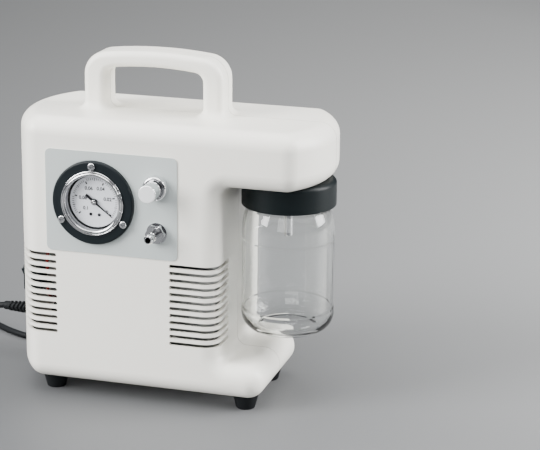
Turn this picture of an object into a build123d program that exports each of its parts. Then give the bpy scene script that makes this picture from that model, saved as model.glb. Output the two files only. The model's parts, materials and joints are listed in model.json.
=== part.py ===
"""Portable dry aspirator: a diaphragm vacuum pump in a two-part moulded housing, with a
vacuum gauge, a bleed valve and a hose tail on the front, and a screw-on glass jar in a recess
on the right. Millimetres, +Z up, the front faces -Y, origin on the floor under the middle."""
import math
import os

from build123d import *

os.makedirs("parts", exist_ok=True)

# ---- housing ----
body_width = 263.0
front_y = -46.0
back_y = 69.0
parting_y = (front_y + back_y) / 2
base_z = 13.0
body_top = 235.2
wall = 2.6
end_bulge = 85.0            # plan radius of the two bulged ends
corner_round = 14.5         # upright corners
edge_round = 13.4           # all long outer edges
recess_round = 8.0          # inside corners of the jar recess
recess_wall_x = 50.3
recess_roof_z = 188.0
ledge_z = 40.7
ledge_end_x = 86.9
seam_width = 0.6
seam_depth = 0.5

# ---- handle ----
handle_left = -77.4
handle_right = 41.2
handle_top = 284.9
handle_rise = 5.0           # the top is slightly arched
handle_inner_left = -59.5
handle_inner_right = 23.7
handle_inner_top = 272.2
handle_inner_rise = 3.2     # and so is the opening under it
handle_thickness = 30.0
handle_edge = 5.2
handle_flare = 7.0

# ---- control panel on the front ----
panel_left, panel_right = -93.9, 17.5
panel_bottom, panel_top = 126.5, 210.9
panel_thickness = 0.8
gauge_x, gauge_z = -52.6, 169.5
knob_x, knob_z = 0.0, 186.0
barb_x, barb_z = 0.5, 148.6
panel_y = front_y - panel_thickness

# ---- cooling slots, wrapped round both front corners ----
slot_count = 12
slot_pitch = 5.92
slot_height = 3.2
slot_bottom_z = 56.5
slot_depth_y = 32.0         # how far a slot runs back along the side
left_slot_end = -88.0
right_slot_start = 11.7

# ---- jar recess: fixed cap, glass jar and pipes ----
jar_x, jar_y = 93.0, parting_y
cap_radius = 38.5
cap_bottom = 166.1
cap_inner_radius = 35.0
cap_roof = 184.0
gasket_thickness = 2.0
jar_radius = 38.0
jar_bottom = 60.0
jar_glass = 2.4
neck_radius = 32.0
neck_top = cap_roof - gasket_thickness
thread_lead = 6.0
thread_turns = 1.5
thread_travel = thread_lead * thread_turns
thread_overlap = 1.3

outlet_x = jar_x - 18.0     # the pipe that draws air off the jar
nozzle_bottom = 139.5
spigot_radius = 3.0         # every hose inside slips over a spigot of this size
hose_radius = 4.6

# ---- drive, with its shaft along X ----
shaft_y, shaft_z = parting_y, 76.0
shaft_radius = 4.0
crank_throw = 3.0
stator_left, stator_right = -70.0, -34.0
crank_x = 13.5              # middle of the connecting rod
deck_z = 112.0              # top of the crankcase, where the diaphragm is clamped
diaphragm_thickness = 1.6
plate_top = 127.0
head_top = 141.0

# ---- feet and cord ----
foot_x = (-97.9, 68.0)
foot_y = (-22.9, 45.9)
cord_radius = 2.7
relief_y, relief_z = 39.0, 43.0
relief_end_x = -171.0
coil_x, coil_y = -40.0, 122.0
coil_rings = 4
coil_layers = 2


def save(name, piece):
    """Label one finished piece and write it to its own file."""
    piece.label = name
    export_step(piece, f"parts/{name}.step")


def disc_y(x, z, y_from, y_to, radius, hole=0.0):
    """A round piece with its axis along Y."""
    with BuildPart() as disc:
        with BuildSketch(Plane.XZ.offset(-y_to)):
            with Locations((x, z)):
                Circle(radius)
                if hole:
                    Circle(hole, mode=Mode.SUBTRACT)
        extrude(amount=y_to - y_from)
    return disc.part


def disc_z(x, y, z_from, z_to, radius, hole=0.0):
    """A round piece with its axis along Z."""
    with BuildPart() as disc:
        with BuildSketch(Plane.XY.offset(z_from)):
            with Locations((x, y)):
                Circle(radius)
                if hole:
                    Circle(hole, mode=Mode.SUBTRACT)
        extrude(amount=z_to - z_from)
    return disc.part


def disc_x(y, z, x_from, x_to, radius, hole=0.0):
    """A round piece with its axis along X."""
    with BuildPart() as disc:
        with BuildSketch(Plane.YZ.offset(x_from)):
            with Locations((y, z)):
                Circle(radius)
                if hole:
                    Circle(hole, mode=Mode.SUBTRACT)
        extrude(amount=x_to - x_from)
    return disc.part


def nut_y(x, z, y_from, y_to, across_flats, hole):
    """A hexagon nut with its axis along Y and its outer corners turned down."""
    with BuildPart() as nut:
        with BuildSketch(Plane.XZ.offset(-y_to)):
            with Locations((x, z)):
                RegularPolygon(across_flats / 2, 6, major_radius=False)
                Circle(hole, mode=Mode.SUBTRACT)
        extrude(amount=y_to - y_from)
        with BuildSketch(Plane.XZ.offset(-y_to)):
            with Locations((x, z)):
                Circle(across_flats * 0.555)
        extrude(amount=y_to - y_from, mode=Mode.INTERSECT)
    return nut.part


def box_between(low, high):
    """A plain block between two opposite corners."""
    with BuildPart() as block:
        middle = [(a + b) / 2 for a, b in zip(low, high)]
        with Locations(tuple(middle)):
            Box(*[b - a for a, b in zip(low, high)])
    return block.part


def housing_form(inset):
    """The housing's rounded outer form with its jar recess, drawn inwards by inset."""
    half = body_width / 2 - inset
    front, back = front_y + inset, back_y - inset
    floor, top = base_z + inset, body_top - inset
    side, roof = recess_wall_x - inset, recess_roof_z + inset
    ledge, ledge_end = ledge_z - inset, ledge_end_x - inset
    bulge = end_bulge - inset
    corner_x = half - bulge + math.sqrt(bulge**2 - (back - parting_y) ** 2)
    inside_round = recess_round + inset
    with BuildPart() as form:
        with BuildSketch(Plane.XY.offset(floor)) as plan:
            with BuildLine():
                Line((-corner_x, front), (corner_x, front))
                ThreePointArc((corner_x, front), (half, parting_y), (corner_x, back))
                Line((corner_x, back), (-corner_x, back))
                ThreePointArc((-corner_x, back), (-half, parting_y), (-corner_x, front))
            make_face()
            fillet(plan.vertices(), corner_round - inset)
        extrude(amount=top - floor)
        with BuildSketch(Plane.XZ.offset(-back)):
            with BuildLine():
                Polyline(
                    (side, roof), (half + 1, roof), (half + 1, floor), (ledge_end, floor),
                    (ledge_end, ledge), (side, ledge), close=True,
                )
            make_face()
        extrude(amount=back - front, mode=Mode.SUBTRACT)
        inside = form.edges().filter_by(Axis.Y)
        fillet(inside.filter_by(lambda e: abs((e @ 0.5).X - side) < 0.1), inside_round)
        upright = form.edges().filter_by(Axis.Z)
        fillet(upright.filter_by(lambda e: abs((e @ 0.5).X - ledge_end) < 0.1), corner_round - inset)

        def is_outer_edge(edge):
            middle = edge @ 0.5
            level = min(abs(middle.Z - z) for z in (floor, top, roof, ledge)) < 0.01
            smooth = abs(middle.X - side - inside_round) < 0.01 and abs(middle.Y - parting_y) < 0.1
            beside_column = side - 0.1 < middle.X < side + inside_round - 0.1
            on_face = min(abs(middle.Y - front), abs(middle.Y - back)) < 0.01
            in_recess = ledge + 0.1 < middle.Z < roof - 0.1 and beside_column and on_face
            return (level and not smooth) or in_recess

        fillet(form.edges().filter_by(is_outer_edge), edge_round - inset)
    return form.part


def handle_form(inset, root_z):
    """The carrying handle, drawn inwards by inset, with its legs running down to root_z."""
    left, right = handle_left + inset, handle_right - inset
    inner_left, inner_right = handle_inner_left - inset, handle_inner_right + inset
    crown = handle_top - inset
    shoulder = crown - handle_rise
    inner_top = handle_inner_top + inset
    eaves = inner_top - handle_inner_rise
    depth = handle_thickness / 2 - inset
    with BuildPart() as loop:
        with BuildSketch(Plane.XZ.offset(-parting_y)) as outline:
            with BuildLine():
                Polyline((left, shoulder), (left, root_z), (inner_left, root_z), (inner_left, eaves))
                ThreePointArc(
                    (inner_left, eaves), ((inner_left + inner_right) / 2, inner_top), (inner_right, eaves),
                )
                Polyline((inner_right, eaves), (inner_right, root_z), (right, root_z), (right, shoulder))
                ThreePointArc((right, shoulder), ((left + right) / 2, crown), (left, shoulder))
            make_face()
            corners = outline.vertices()
            fillet(corners.filter_by(lambda v: abs(v.Y - shoulder) < 0.1), 19 - inset)
            inner = outline.vertices().filter_by(lambda v: abs(v.Y - eaves) < 0.1)
            fillet(inner, 8 + inset)
        extrude(amount=depth, both=True)
        rims = loop.edges().filter_by(lambda e: abs(abs((e @ 0.5).Y - parting_y) - depth) < 0.01)
        fillet(rims.filter_by(lambda e: (e @ 0.5).Z > root_z + 0.1), max(handle_edge - inset, 1.5))
    return loop.part


# ======================= housing covers =======================
with BuildPart() as outer_form:
    add(housing_form(0))
    add(handle_form(0, body_top - wall))
    flare = outer_form.edges().filter_by(lambda e: abs((e @ 0.5).Z - body_top) < 0.01)
    flare = flare.filter_by(lambda e: handle_left - 1 < (e @ 0.5).X < handle_right + 1)
    flare = flare.filter_by(lambda e: abs((e @ 0.5).Y - parting_y) < handle_thickness / 2 + 0.1)
    fillet(flare, handle_flare)

screw_places = [(-112, 215), (112, 213), (-30, 222), (-110, 30), (56, 30.5)]
screw_tunnel_y = parting_y + 12

with BuildPart() as shell:
    add(outer_form.part)
    add(housing_form(wall), mode=Mode.SUBTRACT)
    add(handle_form(wall, body_top - 3 * wall), mode=Mode.SUBTRACT)
    with BuildSketch(Plane.XZ.offset(-parting_y - seam_width / 2)) as seam_plane:
        Rectangle(2 * body_width, 4 * body_width)
    seam_ring = extrude(amount=seam_width, mode=Mode.PRIVATE)
    add(seam_ring - housing_form(seam_depth) - handle_form(seam_depth, body_top - wall), mode=Mode.SUBTRACT)

with BuildPart() as cover_posts:
    for x, z in screw_places:
        add(disc_y(x, z, front_y + 1, back_y - 1, 5.5))
    for x in foot_x:
        for y in foot_y:
            add(disc_z(x, y, base_z, 22, 7))
            add(disc_z(x, y, base_z, base_z + 4, 11.2))
    add(outer_form.part, mode=Mode.INTERSECT)

with BuildPart() as foot_pads:
    for x in foot_x:
        for y in foot_y:
            add(disc_z(x, y, base_z, base_z + 4, 11.2))

with BuildPart() as covers:
    add(shell.part)
    add(cover_posts.part)
    add(foot_pads.part)
    for x in foot_x:
        for y in foot_y:
            add(disc_z(x, y, base_z - 1, 23, 2.3), mode=Mode.SUBTRACT)
    # holes in the recess roof for the two jar pipes
    for x in (jar_x, outlet_x):
        add(disc_z(x, jar_y, recess_roof_z - 1, recess_roof_z + wall + 1, 3.6), mode=Mode.SUBTRACT)

with BuildPart() as front_cover:
    add(covers.part)
    split(bisect_by=Plane.XZ.offset(-parting_y), keep=Keep.TOP)
    for x, z in screw_places:
        add(disc_y(x, z, parting_y - 14, parting_y + 1, 1.7), mode=Mode.SUBTRACT)
    # openings behind the control panel
    add(disc_y(gauge_x, gauge_z, front_y - 1, front_y + 4, 27.2), mode=Mode.SUBTRACT)
    add(disc_y(knob_x, knob_z, front_y - 1, front_y + 4, 6.2), mode=Mode.SUBTRACT)
    add(disc_y(barb_x, barb_z, front_y - 1, front_y + 4, 4.7), mode=Mode.SUBTRACT)
    for angle in (90, 210, 330):
        x = gauge_x + 30.3 * math.cos(math.radians(angle))
        z = gauge_z + 30.3 * math.sin(math.radians(angle))
        add(disc_y(x, z, front_y - 1, front_y + 4, 1.4), mode=Mode.SUBTRACT)
    # cooling slots round the two front corners
    for row in range(slot_count):
        z = slot_bottom_z + row * slot_pitch
        low, high = z - slot_height / 2, z + slot_height / 2
        left_reach = -body_width / 2 - 1
        y_end = front_y + slot_depth_y
        add(box_between((left_reach, front_y - 1, low), (left_slot_end, y_end, high)), mode=Mode.SUBTRACT)
        add(
            box_between((right_slot_start, front_y - 1, low), (recess_wall_x + 1, y_end, high)),
            mode=Mode.SUBTRACT,
        )
        add(disc_y(left_slot_end, z, front_y - 1, front_y + 4, slot_height / 2), mode=Mode.SUBTRACT)
        add(disc_y(right_slot_start, z, front_y - 1, front_y + 4, slot_height / 2), mode=Mode.SUBTRACT)
    # flat seat and cut-out for the power switch on the left end
    add(box_between((-129.4, -11.0, 73.0), (-126.0, 10.2, 101.0)))
    add(box_between((-140.0, -8.6, 76.0), (-128.9, 6.6, 98.0)), mode=Mode.SUBTRACT)
    add(box_between((-140.0, -7.4, 77.4), (-120.0, 5.4, 96.6)), mode=Mode.SUBTRACT)
save("front_cover", front_cover.part)

with BuildPart() as rear_cover:
    add(covers.part)
    split(bisect_by=Plane.XZ.offset(-parting_y), keep=Keep.BOTTOM)
    for x, z in screw_places:
        add(disc_y(x, z, parting_y - 1, back_y + 1, 2.2), mode=Mode.SUBTRACT)
        add(disc_y(x, z, screw_tunnel_y, back_y + 1, 4.0), mode=Mode.SUBTRACT)
    add(disc_x(relief_y, relief_z, -body_width / 2 - 2, -118, 5.0), mode=Mode.SUBTRACT)
    # outlet grille for the warm air, low on the back
    for row in range(7):
        z = 60 + row * 8
        add(box_between((-92, back_y - 6, z), (-40, back_y + 1, z + 3)), mode=Mode.SUBTRACT)
save("rear_cover", rear_cover.part)

# ======================= fasteners and feet =======================
with BuildPart() as housing_screws:
    for x, z in screw_places:
        add(disc_y(x, z, parting_y - 13, screw_tunnel_y, 1.6))
        add(disc_y(x, z, screw_tunnel_y, screw_tunnel_y + 3, 3.6))
        with BuildSketch(Plane.XZ.offset(-screw_tunnel_y - 3)):
            with Locations((x, z)):
                Rectangle(4.2, 0.9)
                Rectangle(0.9, 4.2)
        extrude(amount=1.6, mode=Mode.SUBTRACT)
save("housing_screws", housing_screws.part)

with BuildPart() as rubber_feet:
    for x in foot_x:
        for y in foot_y:
            with BuildSketch(Plane.XY) as tread:
                with Locations((x, y)):
                    Circle(7.7)
            with BuildSketch(Plane.XY.offset(base_z)) as seat:
                with Locations((x, y)):
                    Circle(11)
            loft()
            add(disc_z(x, y, -1, 7, 4.4), mode=Mode.SUBTRACT)
            add(disc_z(x, y, -1, base_z + 1, 2.3), mode=Mode.SUBTRACT)
    fillet(rubber_feet.edges().filter_by(lambda e: (e @ 0.5).Z < 0.01 and e.length > 40), 1.2)
save("rubber_feet", rubber_feet.part)

with BuildPart() as foot_screws:
    for x in foot_x:
        for y in foot_y:
            add(disc_z(x, y, 3.6, 7, 3.9))
            add(disc_z(x, y, 7, 27.5, 1.95))
            add(disc_z(x, y, 3, 5, 1.3), mode=Mode.SUBTRACT)
save("foot_screws", foot_screws.part)

with BuildPart() as foot_nuts:
    for x in foot_x:
        for y in foot_y:
            with BuildSketch(Plane.XY.offset(23.5)):
                with Locations((x, y)):
                    RegularPolygon(3.5, 6, major_radius=False)
                    Circle(2.0, mode=Mode.SUBTRACT)
            extrude(amount=3.2)
save("foot_nuts", foot_nuts.part)

# ======================= control panel =======================
with BuildPart() as control_panel:
    with BuildSketch(Plane.XZ.offset(-front_y)):
        with Locations(((panel_left + panel_right) / 2, (panel_bottom + panel_top) / 2)):
            RectangleRounded(panel_right - panel_left, panel_top - panel_bottom, 4.5)
    extrude(amount=panel_thickness)
    add(disc_y(gauge_x, gauge_z, panel_y - 1, front_y + 1, 27.2), mode=Mode.SUBTRACT)
    add(disc_y(knob_x, knob_z, panel_y - 1, front_y + 1, 6.2), mode=Mode.SUBTRACT)
    add(disc_y(barb_x, barb_z, panel_y - 1, front_y + 1, 4.7), mode=Mode.SUBTRACT)
    for angle in (90, 210, 330):
        x = gauge_x + 30.3 * math.cos(math.radians(angle))
        z = gauge_z + 30.3 * math.sin(math.radians(angle))
        add(disc_y(x, z, panel_y - 1, front_y + 1, 1.4), mode=Mode.SUBTRACT)
save("control_panel", control_panel.part)

# ---- vacuum gauge ----
gauge_flange_y = panel_y - 4.0
gauge_back_y = front_y + 26.0
with BuildPart() as gauge_case:
    add(disc_y(gauge_x, gauge_z, gauge_flange_y, panel_y, 34.4))
    fillet(gauge_case.edges().filter_by(lambda e: abs((e @ 0.5).Y - gauge_flange_y) < 0.01), 1.6)
    add(disc_y(gauge_x, gauge_z, panel_y, gauge_back_y, 26.4))
    add(disc_y(gauge_x, gauge_z, gauge_flange_y - 1, gauge_back_y - 1.5, 25.0), mode=Mode.SUBTRACT)
    add(disc_y(gauge_x, gauge_z, gauge_back_y - 2, gauge_back_y + 1, 5.1), mode=Mode.SUBTRACT)
    for angle in (90, 210, 330):
        x = gauge_x + 30.3 * math.cos(math.radians(angle))
        z = gauge_z + 30.3 * math.sin(math.radians(angle))
        add(disc_y(x, z, gauge_flange_y - 1, panel_y + 1, 1.6), mode=Mode.SUBTRACT)
save("gauge_case", gauge_case.part)

with BuildPart() as gauge_bezel:
    add(disc_y(gauge_x, gauge_z, gauge_flange_y - 2.2, gauge_flange_y, 26.6, 22.4))
    lip = gauge_bezel.edges().filter_by(lambda e: abs((e @ 0.5).Y - gauge_flange_y + 2.2) < 0.01)
    fillet(lip, 1.4)
    add(disc_y(gauge_x, gauge_z, gauge_flange_y, gauge_flange_y + 3.0, 24.9, 23.4))
save("gauge_bezel", gauge_bezel.part)

dial_y = gauge_flange_y + 6.0
with BuildPart() as gauge_lens:
    add(disc_y(gauge_x, gauge_z, gauge_flange_y, gauge_flange_y + 1.6, 23.4))
save("gauge_lens", gauge_lens.part)

with BuildPart() as gauge_dial:
    add(disc_y(gauge_x, gauge_z, dial_y, dial_y + 0.8, 24.7, 1.6))
save("gauge_dial", gauge_dial.part)

needle_rest = -38.0         # degrees from +X, where the pointer stands at zero
with BuildPart() as gauge_needle:
    add(disc_y(gauge_x, gauge_z, dial_y - 2.2, dial_y - 0.8, 2.6))
    add(disc_y(gauge_x, gauge_z, dial_y - 0.9, dial_y + 5.0, 0.8))
    with BuildSketch(Plane.XZ.offset(-dial_y + 1.3)):
        with Locations(Location((gauge_x, gauge_z), needle_rest)):
            Polygon((-9, -1.3), (-9, 1.3), (0, 0.8), (19.4, 0.25), (19.4, -0.25), (0, -0.8), align=None)
    extrude(amount=0.5)
save("gauge_needle", gauge_needle.part)

with BuildPart() as gauge_movement:
    add(disc_y(gauge_x, gauge_z, gauge_back_y - 1.5, gauge_back_y + 6, 5.0))
    add(disc_y(gauge_x, gauge_z, gauge_back_y + 6, gauge_back_y + 16, spigot_radius))
    add(disc_y(gauge_x, gauge_z, gauge_back_y - 6, gauge_back_y - 1.5, 7.5))
    add(disc_y(gauge_x, gauge_z, dial_y + 6, gauge_back_y - 5, 2.0))
    # curved pressure tube and its link plate
    with BuildSketch(Plane.XZ.offset(-gauge_back_y + 5)):
        with Locations((gauge_x, gauge_z)):
            Circle(18.6)
            Circle(15.6, mode=Mode.SUBTRACT)
            with Locations((0, -17)):
                Rectangle(9, 8, mode=Mode.SUBTRACT)
    extrude(amount=3.5)
    add(box_between((gauge_x - 18, gauge_back_y - 8.2, gauge_z - 3), (gauge_x, gauge_back_y - 5.2, gauge_z + 3)))
    add(disc_y(gauge_x, gauge_z, gauge_back_y, gauge_back_y + 17, 1.5), mode=Mode.SUBTRACT)
save("gauge_movement", gauge_movement.part)

with BuildPart() as gauge_screws:
    for angle in (90, 210, 330):
        x = gauge_x + 30.3 * math.cos(math.radians(angle))
        z = gauge_z + 30.3 * math.sin(math.radians(angle))
        add(disc_y(x, z, gauge_flange_y - 1.9, gauge_flange_y, 3.0))
        add(disc_y(x, z, gauge_flange_y, front_y + 8, 1.3))
    heads = gauge_screws.edges().filter_by(lambda e: abs((e @ 0.5).Y - gauge_flange_y + 1.9) < 0.01)
    fillet(heads, 1.0)
    for angle in (90, 210, 330):
        x = gauge_x + 30.3 * math.cos(math.radians(angle))
        z = gauge_z + 30.3 * math.sin(math.radians(angle))
        with BuildSketch(Plane.XZ.offset(-gauge_flange_y + 1.9)):
            with Locations((x, z)):
                Rectangle(3.4, 0.7)
                Rectangle(0.7, 3.4)
        extrude(amount=-1.1, mode=Mode.SUBTRACT)
save("gauge_screws", gauge_screws.part)

# ---- bleed valve: fixed body and nut, turning knob with a needle on its thread ----
knob_face_y = panel_y - 22.2
with BuildPart() as valve_body:
    add(disc_y(knob_x, knob_z, panel_y - 7.5, front_y + 2.6, 6.0))
    add(disc_y(knob_x, knob_z, front_y + 2.6, front_y + 4.6, 9.0))
    add(disc_y(knob_x, knob_z, front_y + 4.6, front_y + 24, 6.5))
    add(disc_z(knob_x, front_y + 18, knob_z - 14, knob_z, 3.0))
    add(disc_y(knob_x, knob_z, panel_y - 8, front_y + 16, 3.3), mode=Mode.SUBTRACT)
    add(disc_y(knob_x, knob_z, front_y + 15, front_y + 21, 1.5), mode=Mode.SUBTRACT)
    add(disc_z(knob_x, front_y + 18, knob_z - 15, knob_z, 1.5), mode=Mode.SUBTRACT)
save("valve_body", valve_body.part)

with BuildPart() as valve_nut:
    add(disc_y(knob_x, knob_z, panel_y - 1.0, panel_y, 10.4, 6.1))
    add(nut_y(knob_x, knob_z, panel_y - 6.5, panel_y - 1.0, 19, 6.1))
save("valve_nut", valve_nut.part)

with BuildPart() as control_knob:
    add(disc_y(knob_x, knob_z, knob_face_y, panel_y - 8.2, 7.2))
    fillet(control_knob.edges().filter_by(lambda e: abs((e @ 0.5).Y - knob_face_y) < 0.01), 0.8)
    add(disc_y(knob_x, knob_z, panel_y - 8.2, front_y + 12, 3.0))
    with BuildSketch(Plane.XZ.offset(-front_y - 12)):
        with Locations((knob_x, knob_z)):
            Circle(1.3)
    extrude(amount=-3.0, taper=20)
save("control_knob", control_knob.part)

# ---- hose tail ----
barb_tip_y = panel_y - 21.5
with BuildPart() as hose_tail:
    with BuildSketch(Plane.XY.offset(barb_z)) as half_section:
        with BuildLine():
            Polyline(
                (barb_x, barb_tip_y), (barb_x + 3.0, barb_tip_y), (barb_x + 3.9, barb_tip_y + 1.4),
                (barb_x + 3.9, barb_tip_y + 4.4), (barb_x + 3.2, barb_tip_y + 5.4),
                (barb_x + 3.2, barb_tip_y + 8.5), (barb_x + 3.8, barb_tip_y + 9.3),
                (barb_x + 3.2, barb_tip_y + 12.5), (barb_x + 3.2, panel_y - 6.2),
                (barb_x + 6.6, panel_y - 6.2), (barb_x + 6.6, panel_y - 5.6),
                (barb_x + 4.5, panel_y - 5.6), (barb_x + 4.5, front_y + 6),
                (barb_x + 3.0, front_y + 6), (barb_x + 3.0, front_y + 18), (barb_x, front_y + 18), close=True,
            )
        make_face()
    revolve(axis=Axis((barb_x, 0, barb_z), (0, 1, 0)))
    add(disc_y(barb_x, barb_z, barb_tip_y - 1, front_y + 19, 2.35), mode=Mode.SUBTRACT)
save("hose_tail", hose_tail.part)

with BuildPart() as hose_tail_nuts:
    add(disc_y(barb_x, barb_z, panel_y - 0.9, panel_y, 8.6, 4.6))
    add(nut_y(barb_x, barb_z, panel_y - 5.5, panel_y - 0.9, 14.5, 4.6))
    # locknut inside the housing
    add(nut_y(barb_x, barb_z, front_y + wall, front_y + wall + 3, 13, 4.6))
save("hose_tail_nuts", hose_tail_nuts.part)

# ---- power switch on the left end ----
switch_y, switch_z = -1.0, 87.0
switch_face_x, switch_seat_x = -132.0, -128.9
rocker_pivot_x = -128.5
rocker_tilt = 10.0          # each way from the middle
with BuildPart() as switch_body:
    low = (switch_face_x, switch_y - 7.4, switch_z - 10.8)
    add(box_between(low, (switch_seat_x, switch_y + 7.4, switch_z + 10.8)))
    fillet(switch_body.edges().filter_by(Axis.X), 1.2)
    fillet(switch_body.edges().filter_by(lambda e: abs((e @ 0.5).X - switch_face_x) < 0.01), 0.8)
    low = (switch_seat_x, switch_y - 6.2, switch_z - 9.4)
    add(box_between(low, (-116.5, switch_y + 6.2, switch_z + 9.4)))
    low = (switch_face_x - 1, switch_y - 5.2, switch_z - 8.2)
    add(box_between(low, (-118, switch_y + 5.2, switch_z + 8.2)), mode=Mode.SUBTRACT)
    for z in (switch_z - 5, switch_z + 5):
        add(box_between((-116.5, switch_y - 2.4, z - 0.4), (-110.5, switch_y + 2.4, z + 0.4)))
save("switch_body", switch_body.part)

with BuildPart() as switch_rocker:
    with BuildSketch(Plane.XZ.offset(-switch_y - 4.8)):
        with Locations(Location((rocker_pivot_x, switch_z), rocker_tilt)):
            Polygon(
                (-5.2, -7.2), (-3.6, 0), (-5.2, 7.2), (2.3, 7.0), (5.5, 0), (2.3, -7.0), align=None,
            )
    extrude(amount=9.6)
save("switch_rocker", switch_rocker.part)

# ======================= jar, cap and pipes =======================
def thread_ridge(start_z, turns, radius, outward):
    """A right-handed thread ridge round the jar's axis, standing out or in from a wall."""
    reach = 2.4 * (1 if outward else -1)
    root = -0.3 * (1 if outward else -1)
    with BuildPart() as ridge:
        with BuildLine() as path:
            Helix(thread_lead, thread_lead * turns, radius, center=(jar_x, jar_y, start_z))
        with BuildSketch(Plane(origin=path.line @ 0, x_dir=(1, 0, 0), z_dir=path.line % 0)):
            Polygon((root, -1.2), (root, 1.2), (reach, 0.55), (reach, -0.55), align=None)
        sweep(is_frenet=True)
    return ridge.part


with BuildPart() as jar_cap:
    add(disc_z(jar_x, jar_y, cap_bottom, recess_roof_z, cap_radius))
    fillet(jar_cap.edges().filter_by(lambda e: abs((e @ 0.5).Z - recess_roof_z) < 0.01), 3.9)
    fillet(jar_cap.edges().filter_by(lambda e: abs((e @ 0.5).Z - cap_bottom) < 0.01), 0.8)
    add(disc_z(jar_x, jar_y, cap_bottom - 1, cap_roof, cap_inner_radius), mode=Mode.SUBTRACT)
    for x in (jar_x, outlet_x):
        add(disc_z(x, jar_y, cap_roof - 1, recess_roof_z + 1, 3.5), mode=Mode.SUBTRACT)
    add(thread_ridge(173.0, 1.1, cap_inner_radius, False))
save("jar_cap", jar_cap.part)

with BuildPart() as jar_gasket:
    add(disc_z(jar_x, jar_y, neck_top, cap_roof, neck_radius + 0.2, 28.0))
save("jar_gasket", jar_gasket.part)

with BuildPart() as jar:
    rim_z = neck_top - 0.1
    panel_radius = jar_radius - 0.35
    bore_radius = jar_radius - jar_glass
    with BuildSketch(Plane.XZ.offset(-jar_y)) as half_jar:
        with BuildLine():
            # the outside: a domed foot, a large heel, a label panel set in a little, and a long shoulder
            Polyline((jar_x, jar_bottom + 2.6), (jar_x + 21, jar_bottom + 1.6), (jar_x + 24.5, jar_bottom))
            Line((jar_x + 24.5, jar_bottom), (jar_x + 26, jar_bottom))
            ThreePointArc((jar_x + 26, jar_bottom), (jar_x + 34.2, 64.8), (jar_x + jar_radius, 76))
            Polyline(
                (jar_x + jar_radius, 76), (jar_x + jar_radius, 79), (jar_x + panel_radius, 80.5),
                (jar_x + panel_radius, 137.5), (jar_x + jar_radius, 139), (jar_x + jar_radius, 142),
            )
            ThreePointArc((jar_x + jar_radius, 142), (jar_x + 37.2, 153), (jar_x + 34.4, 163))
            Polyline(
                (jar_x + 34.4, 163), (jar_x + 34.2, 167.4), (jar_x + neck_radius, 169), (jar_x + neck_radius, rim_z),
                (jar_x + neck_radius - jar_glass, rim_z), (jar_x + neck_radius - jar_glass, 168),
                (jar_x + 32.0, 162.0),
            )
            ThreePointArc((jar_x + 32.0, 162.0), (jar_x + 34.7, 152.5), (jar_x + bore_radius, 142))
            Line((jar_x + bore_radius, 142), (jar_x + bore_radius, 77))
            ThreePointArc((jar_x + bore_radius, 77), (jar_x + 32.6, 68.2), (jar_x + 25, 64.0))
            Polyline((jar_x + 25, 64.0), (jar_x, jar_bottom + 5.4), (jar_x, jar_bottom + 2.6))
        make_face()
    revolve(axis=Axis((jar_x, jar_y, 0), (0, 0, 1)))
    add(thread_ridge(170.6, thread_turns, neck_radius, True))
save("glass_jar", jar.part)

with BuildPart() as jar_inlet_pipe:
    add(disc_z(jar_x, jar_y, nozzle_bottom, 196, 3.5))
    add(disc_z(jar_x, jar_y, 196, 208, spigot_radius))
    fillet(jar_inlet_pipe.edges().filter_by(lambda e: abs((e @ 0.5).Z - nozzle_bottom) < 0.01), 0.6)
    add(disc_z(jar_x, jar_y, 178, cap_roof, 5.6))
    add(disc_z(jar_x, jar_y, nozzle_bottom - 1, 209, 2.1), mode=Mode.SUBTRACT)
save("jar_inlet_pipe", jar_inlet_pipe.part)

with BuildPart() as jar_outlet_pipe:
    add(disc_z(outlet_x, jar_y, cap_roof - 2.5, 196, 3.5))
    add(disc_z(outlet_x, jar_y, 196, 208, spigot_radius))
    add(disc_z(outlet_x, jar_y, cap_roof - 2.5, cap_roof, 5.6))
    add(disc_z(outlet_x, jar_y, cap_roof - 3, 209, 2.1), mode=Mode.SUBTRACT)
save("jar_outlet_pipe", jar_outlet_pipe.part)

with BuildPart() as pipe_nuts:
    for x in (jar_x, outlet_x):
        with BuildSketch(Plane.XY.offset(recess_roof_z + wall)):
            with Locations((x, jar_y)):
                RegularPolygon(6, 6, major_radius=False)
                Circle(3.5, mode=Mode.SUBTRACT)
        extrude(amount=4)
save("pipe_nuts", pipe_nuts.part)

# ======================= motor =======================
bolt_reach = 31.0
bolt_places = [(shaft_y + sy * bolt_reach, shaft_z + sz * bolt_reach) for sy in (-1, 1) for sz in (-1, 1)]

with BuildPart() as motor_stator:
    with BuildSketch(Plane.YZ.offset(stator_left)):
        with Locations((shaft_y, shaft_z)):
            RectangleRounded(76, 76, 10)
            Circle(21.0, mode=Mode.SUBTRACT)
            with PolarLocations(23.5, 12):
                SlotOverall(8, 3.2, mode=Mode.SUBTRACT)
        with Locations(bolt_places):
            Circle(2.1, mode=Mode.SUBTRACT)
    extrude(amount=stator_right - stator_left)
save("motor_stator", motor_stator.part)

with BuildPart() as motor_windings:
    for x_from in (stator_left - 8, stator_right):
        add(disc_x(shaft_y, shaft_z, x_from, x_from + 8, 31.0, 22.6))
    fillet(motor_windings.edges().filter_by(lambda e: (e @ 0.5).X in () or abs((e @ 0.5).X - stator_left + 8) < 0.01), 2.5)
    fillet(motor_windings.edges().filter_by(lambda e: abs((e @ 0.5).X - stator_right - 8) < 0.01), 2.5)
save("motor_windings", motor_windings.part)

with BuildPart() as motor_rotor:
    add(disc_x(shaft_y, shaft_z, stator_left - 4, stator_right + 4, 20.6, shaft_radius))
save("motor_rotor", motor_rotor.part)

with BuildPart() as motor_shaft:
    add(disc_x(shaft_y, shaft_z, -106, 8, shaft_radius))
    chamfer(motor_shaft.edges(), 0.5)
save("motor_shaft", motor_shaft.part)


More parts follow.
